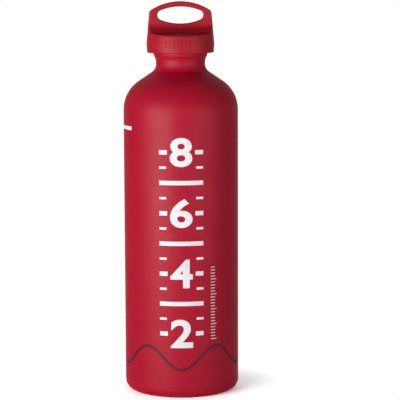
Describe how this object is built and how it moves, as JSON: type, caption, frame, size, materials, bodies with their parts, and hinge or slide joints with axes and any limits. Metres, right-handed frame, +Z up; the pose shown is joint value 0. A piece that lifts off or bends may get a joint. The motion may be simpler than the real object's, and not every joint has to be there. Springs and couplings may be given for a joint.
{
  "type": "camping fuel bottle",
  "caption": "Slim red aluminium fuel bottle with a domed shoulder, narrow neck and push-and-turn screw cap with a carrying loop.",
  "frame": {"origin": "centre of the ring that the bottle stands on, at the ground", "axes": "+Z up the bottle's axis to the cap, -Y towards the pictured front, +X to its right, with the carrying loop in the XZ plane"},
  "size_m": [0.08, 0.08, 0.2734],
  "materials": {
    "red_coat": "satin red powder coat over aluminium",
    "bare_aluminium": "turned, bare",
    "seal_rubber": "fuel-proof moulded rubber",
    "black_plastic": "moulded, matt",
    "spring_steel": "drawn stainless wire",
    "red_plastic": "moulded, satin"
  },
  "bodies": {
    "bottle": {"bottle_shell": "red_coat", "thread_ring": "bare_aluminium"},
    "seal": {"seal_ring": "seal_rubber"},
    "plug": {"plug": "black_plastic"},
    "spring": {"return_spring": "spring_steel"},
    "cap": {"overcap": "red_plastic"}
  },
  "joints": [
    {"name": "cap_lift", "type": "slide", "parent": "bottle", "child": "seal", "axis": [0, 0, 1], "range_m": [0, 0.012]},
    {"name": "cap_turn", "type": "hinge", "parent": "seal", "child": "plug", "pos_m": [0, 0, 0.2265], "axis": [0, 0, 1], "range_deg": [0, 1440]},
    {"name": "free_turn", "type": "hinge", "parent": "plug", "child": "spring", "pos_m": [0, 0, 0.24], "axis": [0, 0, 1], "continuous": true},
    {"name": "press_down", "type": "slide", "parent": "spring", "child": "cap", "axis": [0, 0, 1], "range_m": [-0.0018, 0], "stiffness_N_per_m": 1300, "springref_m": 0.0015, "deforming": ["return_spring"]}
  ],
  "couplings": [
    {"joint": "cap_turn", "follows": "cap_lift", "rad_per_m": 2094.4}
  ]
}
